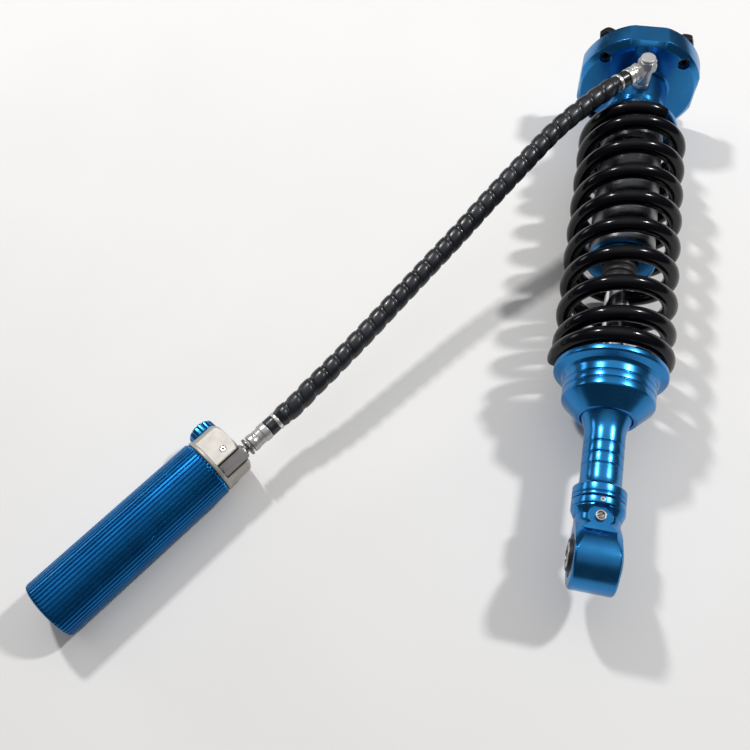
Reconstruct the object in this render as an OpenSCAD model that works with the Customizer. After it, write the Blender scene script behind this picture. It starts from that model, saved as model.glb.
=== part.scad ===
// Coil-over strut with a remote oil and gas reservoir on a short hose.
// The strut lies on its side: its axis is the Y axis, the tower face of the top plate is at Y = 0
// and faces +Y, and the lower eye is towards -Y. The reservoir lies beside it at the same floor level.
// Stations along the strut are distances from the tower face towards the eye, all in millimetres.

/* [Top plate] */
// Outside diameter
plate_d = 125; // [122:1:132]
// Distance across the four flats
plate_flats = 119; // [114:1:120]
// Thickness
plate_t = 26.5; // [24:0.5:30]
// Chamfer round the spring side
plate_chamfer = 5.5; // [2:0.5:7]
// Pitch circle of the four studs
stud_pcd = 109; // [104:1:110]
// Thread diameter of the studs
stud_d = 10; // [8:1:10]
// Width of the stud nuts across their flats
nut_flats = 16; // [14:1:17]
// Gap left under the nuts for the tower sheet
tower_gap = 2.5; // [2.5:0.5:4]

/* [Damper body] */
// Outside diameter of the body tube
body_d = 60; // [58:1:62]
// Bore of the body tube
body_bore = 52; // [50:1:52]
// Diameter of the shaft
shaft_d = 22; // [20:1:24]
// Outside diameter of the bump stop
bump_d = 32; // [30:1:40]

/* [Spring] */
// Inside diameter of the coils
spring_id = 76; // [76:1:78]
// Wire diameter
wire_d = 14; // [12:0.5:14]
// Turns from end to end
spring_turns = 9.35; // [8:0.05:9.5]
// Turns at each end that lie close together
closed_turns = 0.85; // [0.5:0.05:1]

/* [Lower end] */
// Flange diameter of the lower spring seat
flange_d = 96; // [92:1:100]
// Diameter of the cup below the flange
cup_d = 77; // [74:1:82]
// Diameter of the grooved tube between seat and eye
tube_d = 33.2; // [32:0.2:36]
// Diameter of the two rings above the eye
ring_d = 42.4; // [40:0.2:46]
// Outside diameter of the eye
eye_d = 51; // [46:1:54]
// Width of the eye
eye_w = 35; // [30:1:38]
// Outside diameter of the rubber bush
bush_d = 34; // [32:1:38]
// Bolt hole through the eye sleeve
eye_bolt_d = 14.1; // [12.1:1:16.1]

/* [Reservoir] */
// Outside diameter over the ribs
res_d = 56; // [54:1:60]
// Number of ribs
rib_count = 48; // [40:2:56]
// Depth of the grooves between the ribs
rib_depth = 1.3; // [0.8:0.1:1.6]
// Length of the ribbed tube
res_l = 172; // [150:2:200]
// Diameter of the compression knob
knob_d = 26; // [22:1:28]

/* [Hose] */
// Outside diameter of the hose sleeve
hose_d = 16; // [14:1:17]

/* [Hidden] */

// Smoothness of turned parts
$fn = 72;
// Radial clearance of running fits
fit = 0.05;
// Colours
blue = [0.13, 0.42, 0.68];
deep_blue = [0.02, 0.30, 0.58];
black = [0.07, 0.07, 0.08];
steel = [0.72, 0.72, 0.74];
nickel = [0.80, 0.79, 0.77];
rubber = [0.10, 0.10, 0.11];
bronze = [0.62, 0.45, 0.24];

// Stations along the strut
ring_nut_s = 1.5;
cap_end_s = 77;
port_s = 50;
ring_s = 79;
perch_s = 84.5;
spring_s = 92;
tube_end_s = 249;
seat_s = 372;
piston_s = 205;
stop_s = 380.4;
bump_s = 258.3;
bump_end_s = 282;
web_s = 399;
cup_end_s = 404;
socket_s = 413;
lip_s = 418.5;
flare_s = 417;
flare_l = 18;
groove_s = [443.5, 453.2, 462.9];
lock_s = 481;
clamp_s = 492.4;
eye_flange_s = 499.4;
adjuster_s = 507.5;
adjuster_r = 2.9;
eye_s = 537.5;

// Derived radii
body_r = body_d / 2;
bore_r = body_bore / 2;
shaft_r = shaft_d / 2;
stub_r = 7;
rod_r = 3;
stud_r = stud_d / 2;
ring_r = ring_d / 2;
tube_r = tube_d / 2;
wire_r = wire_d / 2;
coil_r = spring_id / 2 + wire_r;
floor_z = -plate_flats / 2;

// Hose end at the elbow and the elbow's own sizes
elbow_r = 7.3;
elbow_base_z = 35;
elbow_top_z = 63;
hose_z = 50;
hose_angle = 225;

// Reservoir frame: centre of the ribbed end, and the direction of its axis from +X
res_r = res_d / 2;
res_pos = [-420.8, -656.9, floor_z + res_d / 2];
res_angle = 58;
res_bore_r = 24;
head_r = 26;
adaptor_at = [-17, 12.5];
knob_t = res_l + 17.4;
screw_at = [-6.7, 19.2, res_l + 17.5];
knob_in = 23.3;
knob_h = 10;

// Centreline of the hose, from the elbow's ferrule to the reservoir's hose fitting; the second point and
// the last but one are where the clamps sit
hose_route = [[-17.8, -67.8, 50], [-25.3, -75.3, 50], [-36.8, -88.4, 49.5], [-49, -103, 48.5],
    [-76, -138, 44], [-102, -179, 36], [-127, -218, 26], [-151, -257, 16], [-175, -296, 8],
    [-198, -335, 2], [-221, -374, -4], [-244, -412, -9], [-255, -428.5, -12], [-265, -444, -15.5],
    [-278.7, -461.6, -19], [-284.5, -470.9, -19]];

// ---- Shared shapes ----

// Puts children on the strut's axis: their Z is the station, their Y is up
module on_axis() {
    rotate([90, 0, 0]) children();
}

// A part turned about the strut's axis, from [radius, station] points
module turned(points) {
    on_axis() rotate_extrude() polygon(points);
}

// A plain ring or disc about the strut's axis
module band(inner, outer, start, end) {
    turned([[inner, start], [outer, start], [outer, end], [inner, end]]);
}

// Puts children in the reservoir's frame: X is to its left, Y is up, Z runs towards the head
module at_reservoir() {
    translate(res_pos) rotate([0, 0, res_angle]) rotate([90, 0, 90]) children();
}

// Puts children on the hose adaptor's axis
module at_adaptor() {
    at_reservoir() translate([adaptor_at[0], adaptor_at[1], 0]) children();
}

// Puts children at the elbow, with Z along the hose as it leaves
module at_elbow() {
    translate([0, -port_s, hose_z]) rotate([0, 0, hose_angle]) rotate([90, 0, 90]) children();
}

// Repeats children on the stud circle
module at_studs() {
    for (i = [0:3]) on_axis() rotate([0, 0, 45 + 90 * i]) translate([stud_pcd / 2, 0, 0]) children();
}

// A six-sided bar, by its width across flats
module hex_bar(flats, length) {
    cylinder(d = flats / cos(30), h = length, $fn = 6);
}

// A turned torus about Z
module torus(centre_r, section_r, height) {
    translate([0, 0, height]) rotate_extrude() translate([centre_r, 0]) circle(r = section_r, $fn = 24);
}

// Closed skin over a list of rings that all have the same number of points
module skin(rings) {
    n = len(rings[0]);
    m = len(rings);
    polyhedron(
        points = [for (ring = rings) each ring],
        faces = concat(
            [for (i = [0:m - 2]) for (j = [0:n - 1]) each [
                [i * n + j, i * n + (j + 1) % n, (i + 1) * n + j],
                [i * n + (j + 1) % n, (i + 1) * n + (j + 1) % n, (i + 1) * n + j]]],
            [[for (j = [n - 1:-1:0]) j]],
            [[for (j = [0:n - 1]) (m - 1) * n + j]]),
        convexity = 10);
}

// Unit vector, and one ring of a tube: centre c, running along t, with u as a first guess of up
function unit(v) = v / norm(v);
function tube_ring(c, t, u, r, n) =
    let (side = unit(cross(t, u)), over = cross(side, t))
    [for (j = [0:n - 1]) c + r * (cos(360 * j / n) * side + sin(360 * j / n) * over)];
function direction(route, i) =
    unit(route[min(i + 1, len(route) - 1)] - route[max(i - 1, 0)]);

// Point t of the way from route point i to the next, on one smooth curve through all of them
function bend(route, i, t) =
    let (a = route[max(i - 1, 0)], b = route[i], c = route[i + 1], d = route[min(i + 2, len(route) - 1)])
    b + 0.5 * t * ((c - a) + t * (2 * a - 5 * b + 4 * c - d + t * (3 * b - a - 3 * c + d)));
function smooth(route) = concat(
    [for (i = [0:len(route) - 2]) each [bend(route, i, 0), bend(route, i, 0.5)]], [route[len(route) - 1]]);

// ---- Top plate ----

module top_plate() {
    color(blue) difference() {
        intersection() {
            turned([[24, 0], [plate_d / 2 - 1, 0], [plate_d / 2, 1], [plate_d / 2, plate_t - plate_chamfer],
                [plate_d / 2 - plate_chamfer, plate_t], [24, plate_t]]);
            translate([-plate_flats / 2, -plate_t, -plate_flats / 2])
                cube([plate_flats, plate_t, plate_flats]);
        }
        on_axis() cylinder(r = 31, h = 9.5);
        at_studs() translate([0, 0, -1]) cylinder(r = stud_r, h = plate_t + 2);
        at_studs() translate([0, 0, plate_t - 4]) cylinder(r = stud_r + 0.8, h = 5);
    }
}

module top_plate_studs() {
    color(black) at_studs() difference() {
        translate([0, 0, -tower_gap - 11]) cylinder(r = stud_r, h = plate_t + tower_gap + 8);
        translate([0, 0, plate_t - 8]) hex_bar(5, 6);
    }
}

module top_plate_nuts() {
    color(black) at_studs() difference() {
        translate([0, 0, -tower_gap - 8]) intersection() {
            hex_bar(nut_flats, 8);
            cylinder(r1 = nut_flats / 2 + 0.2, r2 = nut_flats / 2 + 8.2, h = 8);
        }
        translate([0, 0, -tower_gap - 9]) cylinder(r = stud_r + fit, h = 10);
    }
}

module plate_ring_nut() {
    color(steel) difference() {
        band(20 + fit, 30, ring_nut_s, ring_nut_s + 7.8);
        on_axis() for (a = [0:90:270]) rotate([0, 0, a]) translate([26, -3, 0]) cube([6, 6, 6]);
    }
}

// ---- Damper body ----

module body_cap() {
    color(blue) difference() {
        turned(concat([[0, 1], [20, 1], [20, 9.4], [23.95, 9.4], [23.95, plate_t], [body_r + 3, plate_t],
            [body_r + 0.8, plate_t + 2.2], [body_r, plate_t + 5]],
            [for (g = [65:2.4:74.6]) each
                [[body_r, g - 0.8], [body_r - 0.6, g - 0.1], [body_r - 0.6, g + 0.1], [body_r, g + 0.8]]],
            [[body_r, cap_end_s], [bore_r, cap_end_s], [bore_r, 85.4], [bore_r - 3, 85.4], [bore_r - 3, 88.6],
                [bore_r, 88.6], [bore_r, 92], [bore_r - 4, 92], [bore_r - 4, 62], [0, 62]]));
        on_axis() translate([0, 0, port_s - 3.2]) cylinder(r = 5.2, h = 20);
        translate([0, -port_s, 0]) cylinder(r = 5, h = 40);
        translate([0, -port_s, body_r - 1]) cylinder(r = 10, h = 4);
    }
}

module cap_o_ring() {
    color(rubber) on_axis() torus(bore_r - 1.5, 1.4, 87);
}

module port_nut() {
    color(nickel) translate([0, -port_s, 0]) difference() {
        union() {
            translate([0, 0, body_r - 9]) cylinder(r = 5, h = 9);
            translate([0, 0, body_r - 1]) hex_bar(14, 5);
            translate([0, 0, body_r + 3.5]) cylinder(r = 4.6, h = 15);
        }
        translate([0, 0, body_r - 10]) cylinder(r = 2, h = 30);
    }
}

module body_tube() {
    color([0.42, 0.43, 0.45]) difference() {
        band(bore_r, body_r, cap_end_s, tube_end_s);
        on_axis() for (i = [0:14]) torus(body_r + 0.35, 0.8, 94 + 2 * i);
    }
}

module upper_spring_perch() {
    color(blue) turned([[body_r + fit, perch_s], [41, perch_s], [43.6, perch_s + 1.6], [43.6, 91],
        [42.8, 91.9], [body_r + fit, 91.9]]);
}

module preload_ring() {
    color(blue) difference() {
        turned([[body_r + fit, ring_s], [38.6, ring_s], [39.4, ring_s + 0.8], [39.4, perch_s - 0.9],
            [38.8, perch_s - 0.1], [body_r + fit, perch_s - 0.1]]);
        on_axis() for (a = [30:60:330]) rotate([0, 0, a]) translate([36.6, -2.5, ring_s - 1])
            cube([6, 5, 8]);
    }
}

// Height of the wire's centre after t turns: close at both ends, evenly wound between
function coil_rise(t) =
    let (close = wire_d + 0.05,
        total = seat_s - spring_s - wire_d - 0.2,
        open = (total - 2 * closed_turns * close) / (spring_turns - 2 * closed_turns))
    close * min(t, closed_turns)
    + open * max(0, min(t, spring_turns - closed_turns) - closed_turns)
    + close * max(0, t - (spring_turns - closed_turns));
coil_start_angle = 60;
rings_per_turn = 30;
// The last third of a turn opens out a little towards the cut end
function coil_out(t) = coil_r + 3 * pow(max(0, (t - spring_turns + 0.35) / 0.35), 2);
function coil_centre(t) =
    let (a = coil_start_angle + 360 * t)
    [coil_out(t) * cos(a), coil_out(t) * sin(a), spring_s + wire_r + 0.1 + coil_rise(t)];
function coil_ring(t, step) =
    let (a = coil_start_angle + 360 * t,
        along = unit(coil_centre(min(t + step, spring_turns)) - coil_centre(max(t - step, 0))),
        out = [cos(a), sin(a), 0])
    tube_ring(coil_centre(t), unit(along - (along * out) * out), out, wire_r, 12);

module coil_spring() {
    steps = round(spring_turns * rings_per_turn);
    color(black) on_axis()
        skin([for (i = [0:steps]) coil_ring(spring_turns * i / steps, spring_turns / steps)]);
}

module body_end_cap() {
    e = tube_end_s;
    color(blue) turned([[shaft_r + 3, e - 20], [bore_r, e - 20], [bore_r, e], [body_r - 0.4, e],
        [body_r + 0.6, e + 1], [body_r + 0.6, e + 7.5], [body_r - 1, e + 9], [shaft_r + 3, e + 9]]);
}

module shaft_bush() {
    color(bronze) band(shaft_r + fit, shaft_r + 3, tube_end_s - 18, tube_end_s - 6);
}

module shaft_seal() {
    e = tube_end_s;
    color(rubber) turned([[shaft_r + fit, e - 4], [shaft_r + 3, e - 4], [shaft_r + 3, e + 2],
        [shaft_r + 1.4, e + 2], [shaft_r + 1.4, e - 1], [shaft_r + fit, e - 2]]);
}

module shaft_wiper() {
    e = tube_end_s;
    color(rubber) turned([[shaft_r + 0.6, e + 4.5], [shaft_r + 3, e + 4.5], [shaft_r + 3, e + 8.8],
        [shaft_r + 1.2, e + 8.8], [shaft_r + fit, e + 7.6], [shaft_r + fit, e + 6.8]]);
}

module bump_stop() {
    r = bump_d / 2;
    b = bump_s;
    color(rubber) turned([[shaft_r + 0.4, b], [r - 0.6, b], [r, b + 1.5], [r, b + 5.7],
        [r - 2, b + 7.7], [r, b + 9.7], [r, b + 12.7], [r - 2.2, b + 14.7], [r - 0.6, b + 17.2],
        [r - 2.6, b + 22.2], [r - 4, bump_end_s], [shaft_r + 0.4, bump_end_s]]);
}

// ---- Shaft and piston ----

module shaft() {
    p = piston_s;
    color([0.82, 0.83, 0.85]) turned([[rod_r + 0.4, p - 14], [stub_r - 0.8, p - 14], [stub_r, p - 13],
        [stub_r, p + 22], [shaft_r - 1, p + 22], [shaft_r, p + 23.5], [shaft_r, 486], [rod_r + 0.4, 486]]);
}

module metering_rod() {
    tip = piston_s - 8;
    color(steel) turned([[0, tip], [1.2, tip], [rod_r, tip + 5], [rod_r, 500], [0, 500]]);
}

module piston() {
    p = piston_s;
    color(steel) difference() {
        turned([[stub_r, p], [bore_r - 1, p], [bore_r - 0.4, p + 0.6], [bore_r - 0.4, p + 4],
            [bore_r - 2.4, p + 4], [bore_r - 2.4, p + 14], [bore_r - 0.4, p + 14], [bore_r - 0.4, p + 17.4],
            [bore_r - 1, p + 18], [stub_r, p + 18]]);
        on_axis() for (a = [0:60:300]) rotate([0, 0, a]) translate([15, 0, p - 1]) cylinder(r = 2.6, h = 20);
    }
}

module piston_band() {
    color(bronze) band(bore_r - 2.4, bore_r - fit, piston_s + 4.1, piston_s + 13.9);
}

module valve_shims() {
    color(steel) {
        for (i = [0:2]) band(stub_r, 20 - 3 * i, piston_s - 0.4 - 0.4 * i, piston_s - 0.4 * i);
        for (i = [0:2]) band(stub_r, 20 - 3 * i, piston_s + 18 + 0.4 * i, piston_s + 18.4 + 0.4 * i);
    }
}

module piston_nut() {
    color(steel) difference() {
        on_axis() translate([0, 0, piston_s - 11]) hex_bar(22, 9.8);
        on_axis() translate([0, 0, piston_s - 22]) cylinder(r = stub_r, h = 30);
    }
}

// ---- Lower end ----

module lower_spring_seat() {
    r = flange_d / 2;
    c = cup_d / 2;
    color(blue) turned([[34, seat_s], [r - 0.6, seat_s], [r, seat_s + 0.6], [r, seat_s + 4.4],
        [r - 1.2, seat_s + 5.6], [c + 2.6, 380], [c + 0.4, 382.5], [c, 384.5],
        [c, 389.4], [c - 0.7, 390], [c, 390.6], [c, 396.2], [c - 0.7, 396.8], [c, 397.4],
        [c, cup_end_s - 1], [c - 0.6, cup_end_s + 0.4], [25.2, lip_s - 0.6], [24.2, lip_s], [21.9, lip_s],
        [21.6, lip_s - 1], [21.6, socket_s], [18, socket_s], [18, web_s], [34, web_s]]);
}

// Radius of the flared tube below the seat's lip: a flare that runs out into the straight tube
function flare_r(s) = tube_r + (21.5 - tube_r) * pow(max(0, 1 - (s - flare_s) / flare_l), 2.2);

module lower_tube() {
    flare = [for (s = [flare_s:2:flare_s + flare_l]) [flare_r(s), s]];
    grooves = [for (g = groove_s) each [[tube_r, g - 0.6], [tube_r - 0.7, g], [tube_r, g + 0.6]]];
    color(blue) turned(concat(
        [[shaft_r, stop_s], [16, stop_s], [17, stop_s + 1], [17, web_s - 1], [17.95, web_s],
        [17.95, socket_s + 0.1], [21.5, socket_s + 0.1]],
        flare, grooves,
        [[tube_r, 474], [tube_r + 0.5, 478.5], [tube_r + 1.4, lock_s - 0.4], [tube_r + 1.4, lock_s],
        [tube_r - 0.6, lock_s], [tube_r - 0.6, eye_flange_s], [15, eye_flange_s], [15, 503.5],
        [9, 503.5], [9, 486], [shaft_r, 486]]));
}

module lock_ring() {
    color(blue) turned([[tube_r - 0.6, lock_s], [ring_r - 1.2, lock_s], [ring_r, lock_s + 1.2],
        [ring_r, 488.2], [ring_r - 0.8, 488.6], [ring_r - 0.8, 489.2], [ring_r, 489.6],
        [ring_r, clamp_s - 1], [ring_r - 0.7, clamp_s - 0.3], [tube_r - 0.6, clamp_s - 0.3]]);
}

module clamp_ring() {
    color(blue) difference() {
        turned([[tube_r - 0.6, clamp_s], [ring_r - 0.8, clamp_s], [ring_r, clamp_s + 0.8],
            [ring_r, eye_flange_s - 1.2], [ring_r - 0.8, eye_flange_s - 0.4],
            [tube_r - 0.6, eye_flange_s - 0.4]]);
        translate([0, -clamp_s - 3.1, tube_r - 2]) cylinder(r = 2, h = 10);
    }
}

module clamp_ring_screw() {
    color(steel) translate([0, -clamp_s - 3.1, 0]) difference() {
        translate([0, 0, tube_r - 0.5]) cylinder(r = 2, h = ring_r - tube_r + 0.3);
        translate([0, 0, ring_r - 2.2]) hex_bar(2, 3);
    }
}

module lower_eye() {
    half = eye_w / 2;
    r = eye_d / 2;
    color(blue) difference() {
        union() {
            turned([[15.02, eye_flange_s], [ring_r, eye_flange_s], [ring_r, 500.6], [18.4, 505.5],
                [15.02, 505.5]]);
            // Barrel and neck, turned together so the barrel's shoulders fall away towards the neck
            intersection() {
                union() {
                    translate([-half, -530, -18]) cube([eye_w, 530 - 504, 36]);
                    translate([0, -eye_s, 0]) rotate([0, 90, 0]) translate([0, 0, -half]) rotate_extrude()
                        polygon([[0, 0], [r - 1.6, 0], [r, 1.6], [r, eye_w - 1.6], [r - 1.6, eye_w],
                            [0, eye_w]]);
                }
                turned([[0, 504], [18.2, 504], [18.2, 512], [21, 517], [25, 524], [29, 534], [32, 548],
                    [33, 566], [0, 566]]);
            }
        }
        on_axis() cylinder(r = 15.02, h = 504.2);
        on_axis() cylinder(r = 3.4, h = 512);
        translate([-half - 1, -eye_s, 0]) rotate([0, 90, 0]) cylinder(r = bush_d / 2, h = eye_w + 2);
        translate([0, -adjuster_s, 5]) cylinder(r = adjuster_r + 0.2, h = 30);
        translate([0, -adjuster_s, 15.6]) cylinder(r = 9.5, h = 20);
    }
}

module eye_bush() {
    half = eye_w / 2;
    color(rubber) translate([0, -eye_s, 0]) rotate([0, 90, 0]) rotate_extrude()
        polygon([[10, -half - 2.4], [12.5, -half - 2.4], [bush_d / 2, -half - 0.6], [bush_d / 2, half + 0.6],
            [12.5, half + 2.4], [10, half + 2.4]]);
}

module eye_sleeve() {
    half = eye_w / 2 + 3;
    color(steel) translate([0, -eye_s, 0]) rotate([0, 90, 0]) rotate_extrude()
        polygon([[eye_bolt_d / 2, -half], [9.4, -half], [10, -half + 0.6], [10, half - 0.6], [9.4, half],
            [eye_bolt_d / 2, half]]);
}

module adjuster_seat() {
    color(steel) translate([0, -adjuster_s, 15.6]) difference() {
        cylinder(r = 4.2, h = 2.6);
        translate([0, 0, -1]) cylinder(r = adjuster_r + fit, h = 6);
    }
}

module rebound_adjuster() {
    color(nickel) translate([0, -adjuster_s, 0]) difference() {
        union() {
            translate([0, 0, 6]) cylinder(r = adjuster_r, h = 11.6);
            translate([0, 0, 17]) cylinder(r1 = adjuster_r, r2 = adjuster_r - 0.6, h = 0.9);
        }
        translate([-5, -0.6, 16.4]) cube([10, 1.2, 3]);
    }
}

// ---- Hose and its fittings ----

module elbow_fitting() {
    color(nickel) difference() {
        union() {
            translate([0, -port_s, elbow_base_z]) cylinder(r = elbow_r, h = elbow_top_z - elbow_base_z - 1);
            translate([0, -port_s, elbow_top_z - 1]) cylinder(r1 = elbow_r, r2 = elbow_r - 1, h = 1);
            translate([0, -port_s, elbow_top_z - 11]) hex_bar(15.6, 8.5);
            at_elbow() translate([0, 0, -8.8]) hex_bar(13, 8.8);
            at_elbow() cylinder(r = 6, h = 9);
        }
        translate([0, -port_s, elbow_base_z - 1]) cylinder(r = 4.6 + fit, h = 15.6);
        at_elbow() cylinder(r = 2.5, h = 12);
    }
}

module swivel_nut() {
    color(nickel) at_elbow() difference() {
        union() {
            translate([0, 0, 9]) hex_bar(16.5, 5.6);
            translate([0, 0, 14.6]) cylinder(r = 8.6, h = 1.4);
            translate([0, 0, 16]) cylinder(r = 7.8, h = 1);
            translate([0, 0, 17]) cylinder(r = 8.8, h = 2);
            translate([0, 0, 19]) cylinder(r = 8.1, h = 0.7);
            translate([0, 0, 19.7]) cylinder(r = 8.8, h = 5.1);
        }
        translate([0, 0, 8]) cylinder(r = 2.5, h = 18);
    }
}

module hose() {
    line = smooth(hose_route);
    color(rubber) skin([for (i = [0:len(line) - 1])
        tube_ring(line[i], direction(line, i), [0, 0, 1], hose_d / 2, 10)]);
}

// One worm-free band clamp round the sleeve at route point i
module clamp_at(i) {
    d = direction(hose_route, i);
    translate(hose_route[i]) rotate([0, acos(d[2]), atan2(d[1], d[0])]) difference() {
        translate([0, 0, -1.6]) cylinder(r = hose_d / 2 + 0.7, h = 3.2);
        translate([0, 0, -4]) cylinder(r = hose_d / 2 + 0.05, h = 8);
    }
}

module hose_clamps() {
    color(nickel) {
        clamp_at(1);
        clamp_at(len(hose_route) - 2);
    }
}

module hose_fitting() {
    color(nickel) at_adaptor() difference() {
        union() {
            translate([0, 0, res_l + 36]) cylinder(r = 5, h = 2);
            translate([0, 0, res_l + 38]) cylinder(r = 8.2, h = 4);
            translate([0, 0, res_l + 42]) cylinder(r1 = 8.2, r2 = 7.6, h = 2);
            translate([0, 0, res_l + 44]) cylinder(r = 7.6, h = 7);
            translate([0, 0, res_l + 51]) cylinder(r = 8.4, h = 6.6);
        }
        translate([0, 0, res_l + 30]) cylinder(r = 2.5, h = 40);
    }
}

module hose_adaptor() {
    color(nickel) at_adaptor() difference() {
        union() {
            translate([0, 0, res_l + 0.2]) cylinder(r = 4, h = 4);
            translate([0, 0, res_l + 4]) hex_bar(12, 27);
            translate([0, 0, res_l + 31]) cylinder(r = 3.8, h = 3);
            translate([0, 0, res_l + 34]) cylinder(r = 8.4, h = 2);
        }
        translate([0, 0, res_l - 1]) cylinder(r = 2, h = 50);
    }
}

// ---- Reservoir ----

// Outline of a round bar with straight ribs: n ribs, tops at radius r, grooves d deep
function ribbed(n, r, d) =
    [for (i = [0:n - 1]) each
        let (p = 360 / n, a = i * p)
        [[r * cos(a), r * sin(a)], [r * cos(a + 0.5 * p), r * sin(a + 0.5 * p)],
        [(r - d) * cos(a + 0.65 * p), (r - d) * sin(a + 0.65 * p)],
        [(r - d) * cos(a + 0.85 * p), (r - d) * sin(a + 0.85 * p)]]];

module reservoir_tube() {
    color(deep_blue) at_reservoir() difference() {
        intersection() {
            linear_extrude(height = res_l) polygon(ribbed(rib_count, res_r, rib_depth));
            rotate_extrude() polygon([[0, 0], [res_r - 3, 0], [res_r - 0.9, 0.9], [res_r + 0.1, 3],
                [res_r + 0.1, res_l - 2.4], [res_r - 2.2, res_l], [0, res_l]]);
        }
        translate([0, 0, -1]) cylinder(r = res_bore_r, h = res_l + 2);
    }
}

module reservoir_head() {
    color([0.78, 0.77, 0.74]) at_reservoir() difference() {
        union() {
            translate([0, 0, res_l - 10]) cylinder(r = res_bore_r, h = 10);
            translate([0, 0, res_l]) rotate_extrude() polygon([[0, 0], [res_r - 1.6, 0], [res_r - 0.8, 0.8],
                [res_r - 0.8, 3.2], [res_r - 1.6, 4], [head_r, 4], [head_r, 25], [head_r - 4, 29], [0, 29]]);
        }
        // Flat on top, flat for the knob, and the channel that the hose adaptor lies in
        translate([-40, 21.8, res_l + 4]) cube([80, 20, 40]);
        translate([knob_in - 0.3, -40, res_l + 4]) cube([20, 80, 40]);
        translate([adaptor_at[0], adaptor_at[1], res_l + 4]) rotate([0, 0, 143]) translate([-8, -8, 0])
            cube([40, 16, 40]);
        // Port to the adaptor, knob bore, and the bleed screw's seat
        translate([adaptor_at[0], adaptor_at[1], res_l]) cylinder(r = 4, h = 6);
        translate([adaptor_at[0], adaptor_at[1], res_l - 12]) cylinder(r = 2, h = 14);
        translate([6, 0, knob_t]) rotate([0, 90, 0]) cylinder(r = 3 + fit, h = 40);
        translate(screw_at) rotate([-90, 0, 0]) cylinder(r = 3, h = 9);
    }
}

module head_screw() {
    color(steel) at_reservoir() translate(screw_at) rotate([-90, 0, 0]) difference() {
        cylinder(r = 2.6, h = 2.2);
        translate([0, 0, 0.6]) hex_bar(2.5, 4);
    }
}

module reservoir_end_cap() {
    color(deep_blue) at_reservoir() difference() {
        rotate_extrude() polygon([[0, 4], [res_bore_r - 3, 4], [res_bore_r, 5], [res_bore_r, 18], [0, 18]]);
        translate([0, 0, 3]) cylinder(r = 9, h = 6);
        translate([0, 0, 3]) cylinder(r = 3.5, h = 20);
    }
}

module end_cap_ring() {
    color(steel) at_reservoir() torus(res_bore_r - 1, 1, 3.2);
}

module gas_valve() {
    color(bronze) at_reservoir() difference() {
        union() {
            translate([0, 0, 9]) cylinder(r = 3.5, h = 11);
            translate([0, 0, 7]) hex_bar(9, 2);
            translate([0, 0, 3]) cylinder(r = 2.8, h = 4.5);
        }
        translate([0, 0, 1]) cylinder(r = 1.5, h = 30);
    }
}

module floating_piston() {
    color(steel) at_reservoir() difference() {
        translate([0, 0, 70]) rotate_extrude() polygon([[0, 0], [res_bore_r - 0.6, 0], [res_bore_r - 0.6, 6],
            [res_bore_r - 3, 6], [res_bore_r - 3, 10], [res_bore_r - 0.6, 10], [res_bore_r - 0.6, 16],
            [0, 16]]);
        translate([0, 0, 69]) cylinder(r = 15, h = 10);
    }
}

module floating_piston_seal() {
    color(rubber) at_reservoir() translate([0, 0, 76.1]) difference() {
        cylinder(r = res_bore_r - fit, h = 3.8);
        translate([0, 0, -1]) cylinder(r = res_bore_r - 3, h = 6);
    }
}

module compression_knob() {
    r = knob_d / 2;
    color(blue) at_reservoir() translate([knob_in, 0, knob_t]) rotate([0, 90, 0]) difference() {
        intersection() {
            linear_extrude(height = knob_h) polygon(ribbed(12, r, 0.7));
            rotate_extrude() polygon([[0, 0], [r - 0.6, 0], [r + 0.1, 0.8], [r + 0.1, knob_h - 2.2],
                [r - 1, knob_h - 0.6], [r - 2.4, knob_h], [0, knob_h]]);
        }
        translate([0, 0, -1]) cylinder(r = 3, h = 8);
    }
}

module compression_spindle() {
    color(steel) at_reservoir() translate([9, 0, knob_t]) rotate([0, 90, 0]) rotate_extrude()
        polygon([[0, 0], [1, 0], [3, 3], [3, 21.3], [0, 21.3]]);
}

top_plate();
top_plate_studs();
top_plate_nuts();
plate_ring_nut();
body_cap();
cap_o_ring();
port_nut();
body_tube();
upper_spring_perch();
preload_ring();
coil_spring();
body_end_cap();
shaft_bush();
shaft_seal();
shaft_wiper();
bump_stop();
shaft();
metering_rod();
piston();
piston_band();
valve_shims();
piston_nut();
lower_spring_seat();
lower_tube();
lock_ring();
clamp_ring();
clamp_ring_screw();
lower_eye();
eye_bush();
eye_sleeve();
adjuster_seat();
rebound_adjuster();
elbow_fitting();
swivel_nut();
hose();
hose_clamps();
hose_fitting();
hose_adaptor();
reservoir_tube();
reservoir_head();
head_screw();
reservoir_end_cap();
end_cap_ring();
gas_valve();
floating_piston();
floating_piston_seal();
compression_knob();
compression_spindle();
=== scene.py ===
import math
from math import cos, pi, radians, sin

import bmesh
import bpy
from mathutils import Matrix, Vector


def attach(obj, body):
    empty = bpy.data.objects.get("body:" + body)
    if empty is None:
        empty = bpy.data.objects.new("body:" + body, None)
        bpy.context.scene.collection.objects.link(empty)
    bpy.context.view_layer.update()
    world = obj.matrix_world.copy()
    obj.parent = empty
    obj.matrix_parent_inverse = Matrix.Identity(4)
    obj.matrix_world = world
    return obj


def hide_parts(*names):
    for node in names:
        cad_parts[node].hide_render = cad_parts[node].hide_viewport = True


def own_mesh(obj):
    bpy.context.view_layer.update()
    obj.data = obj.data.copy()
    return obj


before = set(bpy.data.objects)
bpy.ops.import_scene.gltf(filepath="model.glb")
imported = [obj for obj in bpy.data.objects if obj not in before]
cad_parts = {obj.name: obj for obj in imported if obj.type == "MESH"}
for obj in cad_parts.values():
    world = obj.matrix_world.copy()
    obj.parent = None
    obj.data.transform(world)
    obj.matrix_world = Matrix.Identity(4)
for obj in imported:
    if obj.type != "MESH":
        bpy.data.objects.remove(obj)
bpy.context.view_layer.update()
scene = bpy.context.scene

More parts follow.
